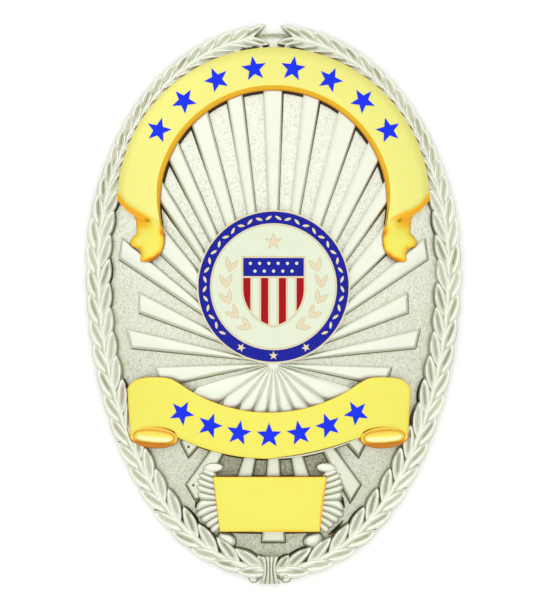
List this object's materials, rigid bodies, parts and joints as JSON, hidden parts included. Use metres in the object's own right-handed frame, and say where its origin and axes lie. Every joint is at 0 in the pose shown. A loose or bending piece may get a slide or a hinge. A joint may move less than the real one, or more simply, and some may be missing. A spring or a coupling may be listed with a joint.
{
  "type": "oval badge",
  "caption": "Domed oval metal badge with a laurel wreath, sunburst rays, gold banner, ribbon and plate, and a round enamelled seal; pin on the back.",
  "frame": {"origin": "middle of the badge's outline, on the surface that its rim lies on", "axes": "+X across the badge, +Y up its face towards the top of the wreath, +Z out of the face"},
  "size_m": [0.0512, 0.0762, 0.006],
  "materials": {
    "silver": "struck nickel plate with a pebbled field",
    "bright_silver": "polished nickel plate",
    "gold": "bright gold plate",
    "champagne": "pale gold plate",
    "bright_blue_enamel": "bright blue enamel",
    "blue_enamel": "deep blue enamel",
    "white_enamel": "white enamel",
    "red_enamel": "red enamel",
    "plain_steel": "plain plated steel"
  },
  "bodies": {
    "root": {"back_plate": "silver", "sunburst": "bright_silver", "wreath_left": "silver", "wreath_right": "silver", "wreath_tie": "silver", "upper_banner": "gold", "upper_stars": "bright_blue_enamel", "lower_ribbon": "gold", "lower_stars": "bright_blue_enamel", "number_plate": "gold", "scroll_left": "silver", "scroll_right": "silver", "seal_base": "champagne", "seal_blue": "blue_enamel", "seal_white": "white_enamel", "seal_red": "red_enamel", "back_pin": "plain_steel"}
  },
  "joints": []
}
